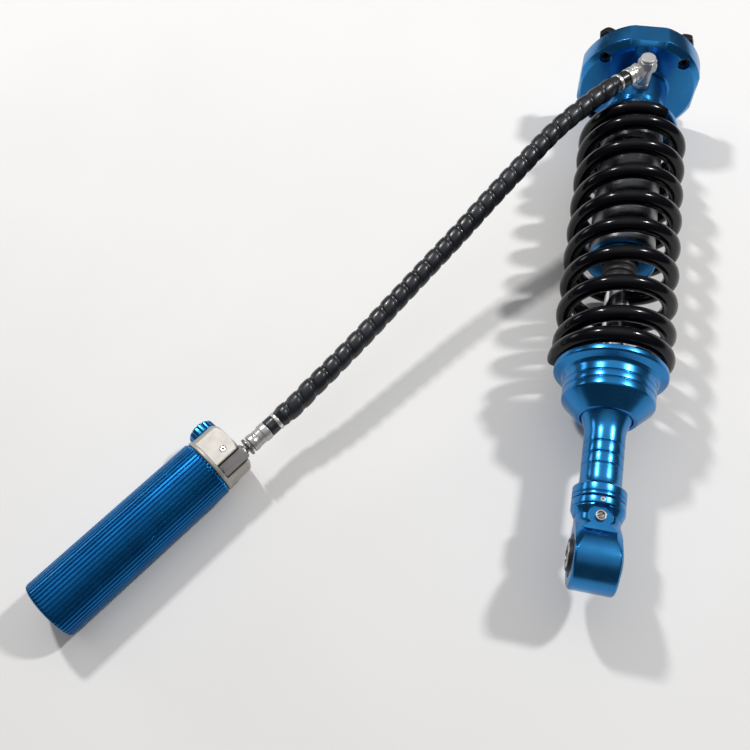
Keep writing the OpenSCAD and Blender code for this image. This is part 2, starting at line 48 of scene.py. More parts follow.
# All shapes are written in millimetres and scaled when their mesh is made.
MM = 0.001
TINY = 1e-6                # mm: a smaller radius or length counts as zero
WELD = 2e-6                # m: vertices nearer than this are merged
SLIVER = 1e-7              # m: edges shorter than this are dissolved
SHARP = 38                 # degrees: edges sharper than this aren't smoothed over
T = Matrix.Translation


def turn(deg, axis):
    return Matrix.Rotation(radians(deg), 4, axis)


# The strut lies along -Y from its tower face, and a station is the distance from that face.
# Local z of each frame is the axis of the pieces that are placed in it.
PORT_S, ADJUSTER_S, EYE_S, CLAMP_SCREW_S = 50, 507.5, 537.5, 495.5
PORT_H = 50                # height of the hose's exit over the strut's axis
TUBE_L = 172               # length of the reservoir's tube
# x goes to y, y to z and z to x, as for parts that are laid along the floor
LAID = Matrix(((0, 0, 1, 0), (1, 0, 0, 0), (0, 1, 0, 0), (0, 0, 0, 1)))
AXIS = turn(90, "X")       # the strut: local z is the station, local y is up
PORT = T((0, -PORT_S, 0))
ELBOW = T((0, -PORT_S, PORT_H)) @ turn(225, "Z") @ LAID
EYE = T((0, -EYE_S, 0)) @ turn(90, "Y")
ADJUSTER = T((0, -ADJUSTER_S, 0))
CLAMP_SCREW = T((0, -CLAMP_SCREW_S, 0))
RES = T((-420.8, -656.9, -31.5)) @ turn(58, "Z") @ LAID
HEAD = RES @ T((0, 0, TUBE_L))
ADAPTOR = HEAD @ T((-17, 12.5, 0))
KNOB = HEAD @ T((23.3, 0, 17.4)) @ turn(90, "Y")
SCREW = HEAD @ T((-6.7, 19.2, 17.5)) @ turn(-90, "X")

# ---- Camera: place, aim and lens as solved from the photograph's perspective ----
LENS, SENSOR, VIEW_DEPTH = 37.74, 36, 20
CAMERA_AT = Vector((-0.0887, -0.7251, 0.6046))
cam_data = bpy.data.cameras.new("camera")
cam_data.lens = LENS
cam_data.sensor_width = SENSOR
cam_data.clip_end = VIEW_DEPTH
camera = bpy.data.objects.new("camera", cam_data)
scene.collection.objects.link(camera)
look = Vector((-0.16017, 0.45555, -0.87568)).normalized()
right = Vector((0.97448, 0.21432, -0.06675)).normalized()
up = right.cross(look).normalized()
right = look.cross(up).normalized()
camera.matrix_world = Matrix((
    (right.x, up.x, -look.x, CAMERA_AT.x),
    (right.y, up.y, -look.y, CAMERA_AT.y),
    (right.z, up.z, -look.z, CAMERA_AT.z),
    (0, 0, 0, 1)))
scene.camera = camera


# ---- Mesh building ----
def make(name, verts, faces, matrix=None, sharp=SHARP):
    """An object from vertices in millimetres and faces. A face given twice is made once."""
    m = matrix or Matrix.Identity(4)
    bm = bmesh.new()
    vs = [bm.verts.new((m @ Vector(v)) * MM) for v in verts]
    for f in faces:
        try:
            bm.faces.new([vs[i] for i in f])
        except ValueError:
            pass
    bmesh.ops.remove_doubles(bm, verts=bm.verts, dist=WELD)
    bmesh.ops.dissolve_degenerate(bm, edges=bm.edges, dist=SLIVER)
    bmesh.ops.recalc_face_normals(bm, faces=bm.faces)
    me = bpy.data.meshes.new(name)
    bm.to_mesh(me)
    bm.free()
    me.shade_smooth()
    me.set_sharp_from_angle(angle=radians(sharp))
    ob = bpy.data.objects.new(name, me)
    scene.collection.objects.link(ob)
    return ob


def soften(points, radius, steps=3):
    """Rounds the corners of a closed outline, but not nearly straight ones or those on the axis."""
    straight = radians(168)
    share = 0.4            # of each side at most goes into a corner
    out = []
    for i, p in enumerate(points):
        b = Vector(p)
        u = Vector(points[i - 1]) - b
        v = Vector(points[(i + 1) % len(points)]) - b
        if min(u.length, v.length, b.x) < TINY or u.angle(v) > straight:
            out.append((b.x, b.y))
            continue
        d = min(radius, share * u.length, share * v.length)
        a, c = b + u.normalized() * d, b + v.normalized() * d
        for j in range(steps + 1):
            t = j / steps
            q = a * (1 - t) ** 2 + b * 2 * t * (1 - t) + c * t * t
            out.append((q.x, q.y))
    return out


def lathe(name, points, matrix, round_by=0.35, segs=128, shape=None, angles=None, sharp=SHARP):
    """A turned part from its closed [radius, z] outline. shape(r, angle, z) may change a radius."""
    prof = soften(points, round_by) if round_by else list(points)
    at = angles or [2 * pi * i / segs for i in range(segs)]
    n, m = len(prof), len(at)
    verts = []
    for a in at:
        for r, z in prof:
            rr = shape(r, a, z) if shape else r
            verts.append((rr * cos(a), rr * sin(a), z))
    faces = []
    for i in range(m):
        k = (i + 1) % m
        for j in range(n):
            l = (j + 1) % n
            if prof[j][0] < TINY and prof[l][0] < TINY:
                continue
            faces.append((i * n + j, i * n + l, k * n + l, k * n + j))
    return make(name, verts, faces, matrix, sharp)


def ring(name, inner, outer, start, end, matrix, round_by=0.35, **kw):
    outline = [(inner, start), (outer, start), (outer, end), (inner, end)]
    return lathe(name, outline, matrix, round_by, **kw)


def rod(name, radius, start, end, matrix, round_by=0.35, **kw):
    return ring(name, 0, radius, start, end, matrix, round_by, **kw)


def grooves(radius, depth, half_top, half_floor, stations):
    """Outline points of tapered grooves turned into a cylinder."""
    out = []
    for s in stations:
        out += [(radius, s - half_top), (radius - depth, s - half_floor),
                (radius - depth, s + half_floor), (radius, s + half_top)]
    return out


def block(name, low, high, matrix):
    (a, b, c), (d, e, f) = low, high
    v = [(a, b, c), (d, b, c), (d, e, c), (a, e, c),
         (a, b, f), (d, b, f), (d, e, f), (a, e, f)]
    q = [(0, 3, 2, 1), (4, 5, 6, 7), (0, 1, 5, 4), (1, 2, 6, 5), (2, 3, 7, 6), (3, 0, 4, 7)]
    return make(name, v, q, matrix)


def hex_nut(name, flats, start, end, matrix, bore=0.0, chamfer=0.12, clock=0):
    """A six-sided nut with turned corners and, if asked, a bore with a lead-in at each end."""
    apothem = flats / 2
    face, corner = apothem * 0.96, apothem * 1.16    # turned radii of the faces and corners
    drop = chamfer * flats * 0.6
    lead = 0.6
    side_steps, rows = 24, 14
    outline = [(face, start), (corner, start + drop), (corner, end - drop), (face, end)]
    if bore:
        outline = ([(bore, start + lead), (bore + lead, start)] + outline
                   + [(bore + lead, end), (bore, end - lead)])
    else:
        outline = [(0, start)] + outline + [(0, end)]
    angles = [radians(60 * k + clock) + radians(60) * i / side_steps
              for k in range(6) for i in range(side_steps)]

    def shape(r, a, z):
        local = (a - radians(clock)) % (pi / 3) - pi / 6
        return min(r, apothem / cos(local)) if r > bore + lead + 0.1 else r
    return lathe(name, densify(outline, (end - start) / rows), matrix, 0, shape=shape,
                 angles=angles, sharp=30)


def densify(points, step):
    """A closed outline with its sides cut into pieces of about one step."""
    out = []
    for i, p in enumerate(points):
        q = points[(i + 1) % len(points)]
        n = max(1, int(math.hypot(q[0] - p[0], q[1] - p[1]) / step))
        if p[0] < TINY and q[0] < TINY:
            n = 1
        for j in range(n):
            t = j / n
            out.append((p[0] + (q[0] - p[0]) * t, p[1] + (q[1] - p[1]) * t))
    return out


def carve(ob, *tools, how="DIFFERENCE", sharp=30):
    """Cuts the tools out of a piece, or adds or intersects them, and removes them."""
    for tool in tools:
        bpy.context.view_layer.update()
        mod = ob.modifiers.new("cut", "BOOLEAN")
        mod.operation = how
        mod.solver = "EXACT"
        mod.object = tool
        deps = bpy.context.evaluated_depsgraph_get()
        me = bpy.data.meshes.new_from_object(ob.evaluated_get(deps))
        ob.modifiers.clear()
        ob.data = me
        bpy.data.objects.remove(tool)
    ob.data.shade_smooth()
    ob.data.set_sharp_from_angle(angle=radians(sharp))
    return ob


def bevel(ob, width=0.4, segments=2, angle=32):
    mod = ob.modifiers.new("edge", "BEVEL")
    mod.width = width * MM
    mod.segments = segments
    mod.limit_method = "ANGLE"
    mod.angle_limit = radians(angle)
    mod.harden_normals = True
    mod.use_clamp_overlap = True
    mod.miter_outer = "MITER_ARC"
    return ob


def join(name, objects):
    """One object from several. Their meshes stay separate shells."""
    bm = bmesh.new()
    for o in objects:
        bm.from_mesh(o.data)
        bpy.data.objects.remove(o)
    me = bpy.data.meshes.new(name)
    bm.to_mesh(me)
    bm.free()
    ob = bpy.data.objects.new(name, me)
    scene.collection.objects.link(ob)
    return ob


def sweep(name, points, radius, sides=28, up_hint=(0, 0, 1), sharp=40):
    """A tube along points; radius(i, a) gives its size at point i and angle a round it."""
    pts = [Vector(p) for p in points]
    n = len(pts)
    verts, faces = [], []
    side = None
    for i, p in enumerate(pts):
        d = (pts[min(i + 1, n - 1)] - pts[max(i - 1, 0)]).normalized()
        if side is None:
            side = d.cross(Vector(up_hint)).normalized()
        side = (side - d * side.dot(d)).normalized()
        over = side.cross(d)
        for j in range(sides):
            a = 2 * pi * j / sides
            r = radius(i, a)
            verts.append(p + side * (r * cos(a)) + over * (r * sin(a)))
    for i in range(n - 1):
        for j in range(sides):
            k = (j + 1) % sides
            faces.append((i * sides + j, i * sides + k, (i + 1) * sides + k, (i + 1) * sides + j))
    faces.append(tuple(range(sides - 1, -1, -1)))
    faces.append(tuple((n - 1) * sides + j for j in range(sides)))
    return make(name, verts, faces, None, sharp)


def smooth_line(points, per):
    """Points along one smooth curve through the given ones."""
    p = [Vector(q) for q in points]
    p = [p[0] * 2 - p[1]] + p + [p[-1] * 2 - p[-2]]
    out = []
    for i in range(1, len(p) - 2):
        for j in range(per):
            t = j / per
            out.append(0.5 * ((2 * p[i]) + (p[i + 1] - p[i - 1]) * t
                       + (2 * p[i - 1] - 5 * p[i] + 4 * p[i + 1] - p[i + 2]) * t ** 2
                       + (3 * p[i] - p[i - 1] - 3 * p[i + 1] + p[i + 2]) * t ** 3))
    out.append(p[-2])
    return out


def even_line(points, step):
    """The same line with points a fixed distance apart."""
    total = sum((b - a).length for a, b in zip(points, points[1:]))
    n = max(2, round(total / step))
    out, i, gone = [points[0]], 0, 0.0
    for k in range(1, n):
        want = total * k / n
        while gone + (points[i + 1] - points[i]).length < want:
            gone += (points[i + 1] - points[i]).length
            i += 1
        seg = points[i + 1] - points[i]
        out.append(points[i] + seg * ((want - gone) / seg.length))
    out.append(points[-1])
    return out, total


# ---- Materials ----
class Look:
    """A node material that is built up from noises, bumps and masks."""

    def __init__(self, name):
        self.mat = bpy.data.materials.new(name)
        self.mat.use_nodes = True
        self.nodes = self.mat.node_tree.nodes
        self.links = self.mat.node_tree.links
        self.bsdf = self.nodes["Principled BSDF"]
        self.coord = self.nodes.new("ShaderNodeTexCoord").outputs["Object"]

    def math(self, op, a, b=None):
        n = self.nodes.new("ShaderNodeMath")
        n.operation = op
        for i, v in enumerate((a, b)):
            if v is None:
                continue
            if isinstance(v, (int, float)):
                n.inputs[i].default_value = v
            else:
                self.links.new(v, n.inputs[i])
        return n.outputs[0]

    def noise(self, scale, detail=3.0, rough=0.55, vector=None):
        n = self.nodes.new("ShaderNodeTexNoise")
        n.inputs["Scale"].default_value = scale
        n.inputs["Detail"].default_value = detail
        n.inputs["Roughness"].default_value = rough
        self.links.new(vector or self.coord, n.inputs["Vector"])
        return n.outputs["Fac"]

    def ramp(self, value, low, high, out_low=0.0, out_high=1.0):
        n = self.nodes.new("ShaderNodeMapRange")
        n.inputs["From Min"].default_value = low
        n.inputs["From Max"].default_value = high
        n.inputs["To Min"].default_value = out_low
        n.inputs["To Max"].default_value = out_high
        self.links.new(value, n.inputs["Value"])
        return n.outputs["Result"]

    def mix(self, value, a, b):
        n = self.nodes.new("ShaderNodeMix")
        n.data_type = "RGBA"
        self.links.new(value, n.inputs["Factor"])
        for sock, c in (("A", a), ("B", b)):
            s = [i for i in n.inputs if i.name == sock and i.type == "RGBA"][0]
            if isinstance(c, tuple):
                s.default_value = (*c, 1)
            else:
                self.links.new(c, s)
        return [o for o in n.outputs if o.type == "RGBA"][0]

    def spread(self, noise, low=0.0, high=1.0):
        """The range that a noise mostly keeps to, mapped to low .. high."""
        return self.ramp(noise, 0.3, 0.7, low, high)

    def turned(self, pitch):
        """Fine rings round the strut's axis: the value changes with radius and station only."""
        s = self.nodes.new("ShaderNodeSeparateXYZ")
        self.links.new(self.coord, s.inputs[0])
        x, z = s.outputs["X"], s.outputs["Z"]
        squares = self.math("ADD", self.math("MULTIPLY", x, x), self.math("MULTIPLY", z, z))
        c = self.nodes.new("ShaderNodeCombineXYZ")
        self.links.new(self.math("SQRT", squares), c.inputs[0])
        self.links.new(s.outputs["Y"], c.inputs[1])
        return self.noise(1 / pitch, 2.0, 0.6, c.outputs[0])

    def edge(self, radius):
        """Rounded normal for sharp edges, and a mask that is bright along them."""
        b = self.nodes.new("ShaderNodeBevel")
        b.samples = 4
        b.inputs["Radius"].default_value = radius
        g = self.nodes.new("ShaderNodeNewGeometry")
        d = self.nodes.new("ShaderNodeVectorMath")
        d.operation = "DOT_PRODUCT"
        self.links.new(b.outputs[0], d.inputs[0])
        self.links.new(g.outputs["Normal"], d.inputs[1])
        return b.outputs[0], self.ramp(d.outputs["Value"], 0.98, 0.75)

    def bump(self, height, strength, distance, normal=None):
        n = self.nodes.new("ShaderNodeBump")
        n.inputs["Strength"].default_value = strength
        n.inputs["Distance"].default_value = distance
        self.links.new(height, n.inputs["Height"])
        if normal is not None:
            self.links.new(normal, n.inputs["Normal"])
        return n.outputs[0]

    def finish(self, color=None, rough=None, normal=None, **values):
        if color is not None:
            self.links.new(color, self.bsdf.inputs["Base Color"])
        if rough is not None:
            self.links.new(rough, self.bsdf.inputs["Roughness"])
        if normal is not None:
            self.links.new(normal, self.bsdf.inputs["Normal"])
        for k, v in values.items():
            self.bsdf.inputs[k.replace("_", " ")].default_value = v
        return self.mat


# Noise scales of the metals per metre, and the radius and bump heights of their edges and marks
PATCHES, SPECKS, RUBBED = 28, 1500, 260
EDGE_R, MARK_H, SPECK_H = 0.0004, 0.00003, 0.00002


def metal(name, dark, light, rough, grain=0.00025, strength=0.12, spread=0.07, metallic=1.0,
          turned=False, wear=None, coat=0.0):
    """Metal or anodised metal, with lathe marks round the strut's axis or a plain grain.
    grain is the pitch of the marks in metres, spread how far the roughness varies, wear the
    colour of rubbed edges."""
    k = Look(name)
    fine = k.turned(grain) if turned else k.noise(1 / grain / 6, 4, 0.6)
    patch = k.noise(PATCHES, 4, 0.6)
    specks = k.noise(SPECKS, 2, 0.5)
    color = k.mix(k.spread(patch), dark, light)
    normal, mask = k.edge(EDGE_R)
    if wear:
        rubbed = k.math("MULTIPLY", mask, k.ramp(k.noise(RUBBED, 3), 0.42, 0.62))
        color = k.mix(rubbed, color, wear)
    r = k.math("ADD", k.spread(fine, rough - spread / 2, rough + spread / 2),
               k.spread(patch, -spread / 2, spread / 2))
    normal = k.bump(fine, strength, MARK_H, normal)
    normal = k.bump(specks, strength * 0.4, SPECK_H, normal)
    return k.finish(color, r, normal, Metallic=metallic, Coat_Weight=coat, Coat_Roughness=0.08)


def rubbery(name, dark, light, rough, scale=700, strength=0.25, dust=0.08, coat=0.0):
    """Rubber or a plastic tape, with a fine grain and patches of dust."""
    k = Look(name)
    grain = k.noise(scale, 5, 0.65)
    patch = k.noise(35, 4, 0.6)
    color = k.mix(k.spread(patch), dark, light)
    dusty = k.math("MULTIPLY", k.ramp(k.noise(90, 6, 0.7), 0.55, 0.8), dust)
    color = k.mix(dusty, color, (0.30, 0.29, 0.27))
    normal = k.bump(grain, strength, 0.00008, k.edge(0.0005)[0])
    r = k.spread(patch, rough - 0.06, rough + 0.08)
    return k.finish(color, r, normal, Coat_Weight=coat, Coat_Roughness=0.12,
                    Specular_IOR_Level=0.45)


BLUE = (0.020, 0.185, 0.46), (0.030, 0.230, 0.54)
WORN_BLUE = (0.18, 0.44, 0.70)
blue = metal("anodised_blue", *BLUE, 0.24, turned=True, strength=0.10, metallic=0.96,
             wear=WORN_BLUE, coat=0.05)
blue_mill = metal("anodised_blue_milled", *BLUE, 0.22, grain=0.0011, strength=0.08, metallic=0.96,
                  wear=WORN_BLUE, coat=0.05)
deep = metal("anodised_deep_blue", (0.002, 0.115, 0.32), (0.004, 0.155, 0.41), 0.33,
             grain=0.0016, strength=0.15, metallic=0.9, wear=(0.04, 0.25, 0.55), coat=0.05)
grey = metal("tube_grey", (0.10, 0.103, 0.11), (0.155, 0.158, 0.165), 0.26, turned=True,
             strength=0.25)
chrome = metal("chrome_shaft", (0.62, 0.63, 0.65), (0.74, 0.75, 0.77), 0.10, turned=True,
               strength=0.05, spread=0.04)
steel = metal("turned_steel", (0.42, 0.42, 0.43), (0.58, 0.58, 0.58), 0.30, turned=True,
              strength=0.2)
nickel = metal("bright_nickel", (0.60, 0.59, 0.57), (0.76, 0.75, 0.72), 0.30, grain=0.0012,
               strength=0.10, metallic=0.80)
satin = metal("satin_nickel", (0.42, 0.41, 0.40), (0.56, 0.55, 0.53), 0.32, grain=0.0012,
              strength=0.12, metallic=0.60)
cast = metal("cast_nickel", (0.40, 0.39, 0.385), (0.52, 0.51, 0.50), 0.34, grain=0.0012,
             strength=0.12, metallic=0.25)
dull = metal("dull_nickel", (0.22, 0.21, 0.21), (0.32, 0.31, 0.30), 0.34, grain=0.0012,
             strength=0.15, metallic=0.90)
bare = metal("machined_aluminium", (0.40, 0.38, 0.345), (0.48, 0.455, 0.415), 0.50,
             grain=0.0014, strength=0.2, metallic=0.60, wear=(0.66, 0.64, 0.60))
oxide = metal("black_oxide", (0.014, 0.014, 0.016), (0.03, 0.03, 0.033), 0.38, grain=0.001,
              strength=0.25, metallic=0.75, wear=(0.12, 0.12, 0.12))
brass = metal("bronze", (0.36, 0.22, 0.09), (0.50, 0.33, 0.15), 0.30, turned=True, strength=0.2)
rubber = rubbery("moulded_rubber", (0.010, 0.010, 0.011), (0.020, 0.020, 0.022), 0.50)
sleeve = rubbery("hose_sleeve", (0.007, 0.008, 0.011), (0.015, 0.017, 0.022), 0.32, scale=420,
                 strength=0.3, coat=0.1)


def spring_look():
    """Glossy black powder coat with a little orange peel and dust."""
    k = Look("spring_powder_coat")
    peel = k.noise(620, 2, 0.5)
    patch = k.noise(22, 5, 0.65)
    color = k.mix(k.spread(patch), (0.0015, 0.0015, 0.003), (0.0035, 0.0035, 0.006))
    dusty = k.math("MULTIPLY", k.ramp(k.noise(150, 5, 0.7), 0.66, 0.88), 0.16)
    color = k.mix(dusty, color, (0.06, 0.06, 0.07))
    r = k.spread(k.noise(60, 4), 0.10, 0.20)
    return k.finish(color, r, k.bump(peel, 0.10, 0.00005), Specular_IOR_Level=0.26)


coat_black = spring_look()


def put(ob, mat, body, slot, *nodes):
    """Gives a piece its look and its body and hides the CAD nodes that it stands for. slot is not
    used.
    """
    ob.data.materials.clear()
    ob.data.materials.append(mat)
    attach(ob, body)
    if nodes:
        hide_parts(*nodes)
    return ob


# ---- Hose, its sleeve and clamps ----
HOSE = [(-17.8, -67.8, 50), (-25.3, -75.3, 50), (-36.8, -88.4, 49.5), (-49, -103, 48.5),
        (-76, -138, 44), (-102, -179, 36), (-127, -218, 26), (-151, -257, 16), (-175, -296, 8),
        (-198, -335, 2), (-221, -374, -4), (-244, -412, -9), (-255, -428.5, -12),
        (-265, -444, -15.5), (-278.7, -461.6, -19), (-284.5, -470.9, -19)]
line, hose_length = even_line(smooth_line(HOSE, 20), 0.62)
CUFF_L, CUFF_R = 14.0, 8.1         # plain cuff at each end of the sleeve
CLAMP_NEAR, CLAMP_FAR = 10.6, 11   # the clamps' distances from the two ends
TAPE_R, WINDS, TAPER_L = 9.5, 30, 5    # the tape's crown, its turns and how it runs out
PERIOD = (hose_length - 2 * CUFF_L) / WINDS


def sleeve_radius(i, a):
    """Cuffs pinched by their clamps, and between them a tape wound round the hose. Its seam runs
    once round in each period, between two fine grooves."""
    near_end = hose_length * i / (len(line) - 1)
    far_end = hose_length - near_end
    nearest = min(near_end, far_end)
    if nearest < CUFF_L:
        rim_l, rim_h, pinch, pinch_l = 0.4, 0.5, 0.35, 2.2
        to_clamp = min(abs(near_end - CLAMP_NEAR), abs(far_end - CLAMP_FAR))
        rim = rim_h if nearest < rim_l else 0
        return CUFF_R - rim - pinch * math.exp(-(to_clamp / pinch_l) ** 2)
    crown, groove_h, groove_w = 1.15, 0.7, 0.034
    u = ((near_end - CUFF_L) / PERIOD - a / (2 * pi)) % 1
    bulge = TAPE_R - crown * abs(2 * u - 1) ** 2.6
    for groove in (0.08, 0.92):
        bulge -= groove_h * math.exp(-(((u - groove) / groove_w) ** 2))
    fade = min(1, (nearest - CUFF_L) / TAPER_L)
    return CUFF_R + (bulge - CUFF_R) * fade


hose = put(sweep("hose_sleeve", line, sleeve_radius, 48), sleeve, "hose_line", "hose_black", "hose")


def clamp_band(name, distance):
    """A thin band round the hose at a distance from its start."""
    index = round(distance / hose_length * (len(line) - 1))
    d = (line[index + 1] - line[index - 1]).normalized()
    m = T(line[index]) @ d.to_track_quat("Z", "Y").to_matrix().to_4x4()
    outline = [(7.3, -1.5), (8.3, -1.7), (8.7, -1.2), (8.7, 1.2), (8.3, 1.7), (7.3, 1.5)]
    return lathe(name, outline, m, 0.25)


clamps = join("hose_clamp_bands", [clamp_band("c1", CLAMP_NEAR),
                                   clamp_band("c2", hose_length - CLAMP_FAR)])
put(clamps, nickel, "hose_line", "nickel", "hose_clamps")

# ---- Top plate, studs and nuts ----
FLAT, PLATE_R, STUD_CIRCLE, STUD_R = 59.5, 62.5, 54.5, 5
corner = math.acos(FLAT / PLATE_R)
plate_angles = sorted([radians(1.5 * i) for i in range(240)]
                      + [(q * pi / 2 + s * corner) % (2 * pi) for q in range(4) for s in (-1, 1)])


def flatted(r, a, z):
    """Four flats on the plate's rim."""
    return min(r, FLAT / max(abs(cos(a)), abs(sin(a))))


def stud_frame(i):
    return AXIS @ turn(45 + 90 * i, "Z") @ T((STUD_CIRCLE, 0, 0))


def thread(radius, start, end, pitch=1.5, depth=0.55, lead=0.8):
    """Outline points of ring grooves that look like a thread."""
    pts = [(radius - lead, start), (radius - 0.1, start + lead)]
    z = start + lead
    while z + pitch < end - lead:
        pts += [(radius, z + pitch * 0.15), (radius, z + pitch * 0.3),
                (radius - depth, z + pitch * 0.55), (radius - depth, z + pitch * 0.7),
                (radius, z + pitch)]
        z += pitch
    return pts + [(radius - 0.1, end - lead), (radius - lead, end)]


plate = lathe("top_plate_body", [(24, 9.5), (31, 9.5), (31, 0.6), (31.6, 0), (PLATE_R - 1, 0),
              (PLATE_R, 1), (PLATE_R, 21), (57, 26.5), (24, 26.5)], AXIS, 0.3, shape=flatted,
              angles=plate_angles)
for i in range(4):
    carve(plate, lathe("t", [(0, -1), (5.05, -1), (5.05, 22.5), (5.8, 22.5), (5.8, 26.1),
                             (6.3, 26.6), (6.3, 28), (0, 28)], stud_frame(i), 0, 48))
put(plate, blue, "damper_body", "anodised_blue", "top_plate")

studs, nuts = [], []
for i in range(4):
    stud = lathe("stud%d" % i, [(0, -13.5)] + thread(STUD_R, -13.5, 0.2)
                 + [(STUD_R, 0.3), (STUD_R, 21.8), (4.3, 22.5), (0, 22.5)], stud_frame(i), 0.1, 48)
    # Each stud and nut stands at its own angle, as they do once tightened
    carve(stud, hex_nut("t", 5, 17.5, 24, stud_frame(i), clock=11 * i))
    studs.append(stud)
    nuts.append(hex_nut("nut%d" % i, 16, -10.5, -2.5, stud_frame(i), bore=5.05, clock=17 * i + 8))
put(join("top_plate_stud_set", studs), oxide, "damper_body", "oxide_black", "top_plate_studs")
put(join("top_plate_nut_set", nuts), oxide, "damper_body", "oxide_black", "top_plate_nuts")

nut_ring = ring("plate_ring_nut_slotted", 20.05, 30, 1.5, 9.3, AXIS, 0.4)
carve(nut_ring, *[block("t", (26, -3, 0), (32, 3, 7.5), AXIS @ turn(90 * i, "Z"))
                  for i in range(4)])
put(nut_ring, steel, "damper_body", "steel", "plate_ring_nut")

# ---- Damper body ----
BODY_R = 30
cap = lathe("body_cap_turned", [(0, 1), (19.4, 1), (20, 1.6), (20, 9.4), (23.9, 9.4), (23.9, 26.6),
            (33.2, 26.6), (31.4, 27.9), (30.4, 29.8), (BODY_R, 32.5)]
            + grooves(BODY_R, 0.6, 0.9, 0.2, (65, 67.4, 69.8, 72.2, 74.6))
            + [(BODY_R, 76.9), (26, 76.9), (26, 85.4), (23, 85.4), (23, 88.6), (26, 88.6), (26, 92),
               (22, 92), (22, 62), (0, 62)], AXIS, 0.5)
carve(cap, rod("t", 10, 29, 34, PORT, 0, segs=64), rod("t", 5, 0, 34, PORT, 0, segs=48))
put(cap, blue, "damper_body", "anodised_blue", "body_cap")

port = join("port_nut_hex", [rod("a", 4.95, 21, 30, PORT, 0.2, segs=48),
                             hex_nut("b", 14, 29.1, 34, PORT, clock=20),
                             rod("c", 4.6, 33.5, 48.4, PORT, 0.3, segs=48)])
put(port, nickel, "damper_body", "nickel", "port_nut")

tube_outline = ([(26, 77.1), (29.6, 77.1), (BODY_R, 77.5)]
                + grooves(BODY_R, 0.45, 0.75, 0.15, range(94, 124, 2))
                + [(BODY_R, 248.6), (29.6, 249), (26, 249)])
put(lathe("body_tube_turned", tube_outline, AXIS, 0.1),
    grey, "damper_body", "tube_grey", "body_tube")

preload_ring = lathe("preload_ring_notched", [(30.05, 79), (38.6, 79), (39.4, 79.8), (39.4, 83.6),
                     (38.8, 84.4), (30.05, 84.4)], AXIS)
for i in range(6):
    carve(preload_ring, block("t", (36.6, -2.5, 78), (45, 2.5, 86), AXIS @ turn(30 + 60 * i, "Z")))
put(preload_ring, blue, "preload_nut", "anodised_blue", "preload_ring")
put(lathe("spring_perch_turned", [(30.05, 84.5), (41, 84.5), (43.6, 86.1), (43.6, 91), (42.8, 91.9),
          (30.05, 91.9)], AXIS, 0.4), blue, "spring_perch", "anodised_blue", "upper_spring_perch")

# ---- Coil spring ----
TURNS, CLOSED, WIRE, SEATS = 9.35, 0.85, 14.0, (92.0, 372.0)
COIL_R, STARTS_AT, PER_TURN = 45, 60, 64
SEAT_GAP = 0.1             # between the wire and each seat
WIRE_R = 6.98              # as drawn, so the wire stays inside its CAD solid
TIP_TURN, TIP_OUT = 0.35, 3    # the last part of the wire bends outwards
closed_pitch = WIRE + 0.05
open_pitch = ((SEATS[1] - SEATS[0] - WIRE - 2 * SEAT_GAP - 2 * CLOSED * closed_pitch)
              / (TURNS - 2 * CLOSED))


def rise(t):
    """How far the wire has climbed after t turns."""
    return (closed_pitch * min(t, CLOSED)
            + open_pitch * max(0, min(t, TURNS - CLOSED) - CLOSED)
            + closed_pitch * max(0, t - (TURNS - CLOSED)))


def coil(t):
    """The wire's centre, with the pitch eased over a sixth of a turn where the end coils open."""
    ease = 0.16
    z = rise(t)
    if ease < t < TURNS - ease:
        z = sum(rise(min(max(t + ease * (k / 4 - 0.5), 0), TURNS)) for k in range(5)) / 5
    a = radians(STARTS_AT + 360 * t)
    r = COIL_R + TIP_OUT * max(0, (t - TURNS + TIP_TURN) / TIP_TURN) ** 2
    return (r * cos(a), -(SEATS[0] + WIRE / 2 + SEAT_GAP + z), r * sin(a))


steps = round(TURNS * PER_TURN)
coil_line = [coil(TURNS * i / steps) for i in range(steps + 1)]
chamfered = {0: 6.4, 1: 6.85, steps: 6.4, steps - 1: 6.85}
spring = sweep("coil_spring_wire", coil_line, lambda i, a: chamfered.get(i, WIRE_R), 28,
               up_hint=(0, 1, 0))
put(spring, coat_black, "damper_body", "spring_black", "coil_spring")
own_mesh(spring)

# ---- Lower end of the body, bump stop, shaft ----
put(lathe("body_end_cap_turned", [(14, 229), (26, 229), (26, 249), (29.6, 249), (30.6, 250),
          (30.6, 251.6), (30, 252), (30.6, 252.4), (30.6, 256.5), (29, 258), (14, 258)], AXIS, 0.3),
    blue, "damper_body", "anodised_blue", "body_end_cap")
put(lathe("bump_stop_moulded", [(11.4, 258.3), (15.4, 258.3), (16, 259.8), (16, 264), (14, 266),
          (16, 268), (16, 271), (13.8, 273), (15.4, 275.5), (13.4, 280.5), (12, 282), (11.4, 282)],
          AXIS, 0.9), rubber, "damper_body", "rubber_black", "bump_stop")
put(lathe("shaft_ground", [(3.4, 191), (6.2, 191), (7, 192), (7, 227), (10, 227), (11, 228.5),
          (11, 486), (3.4, 486)], AXIS, 0.2), chrome, "shaft_group", "chrome_shaft", "shaft")

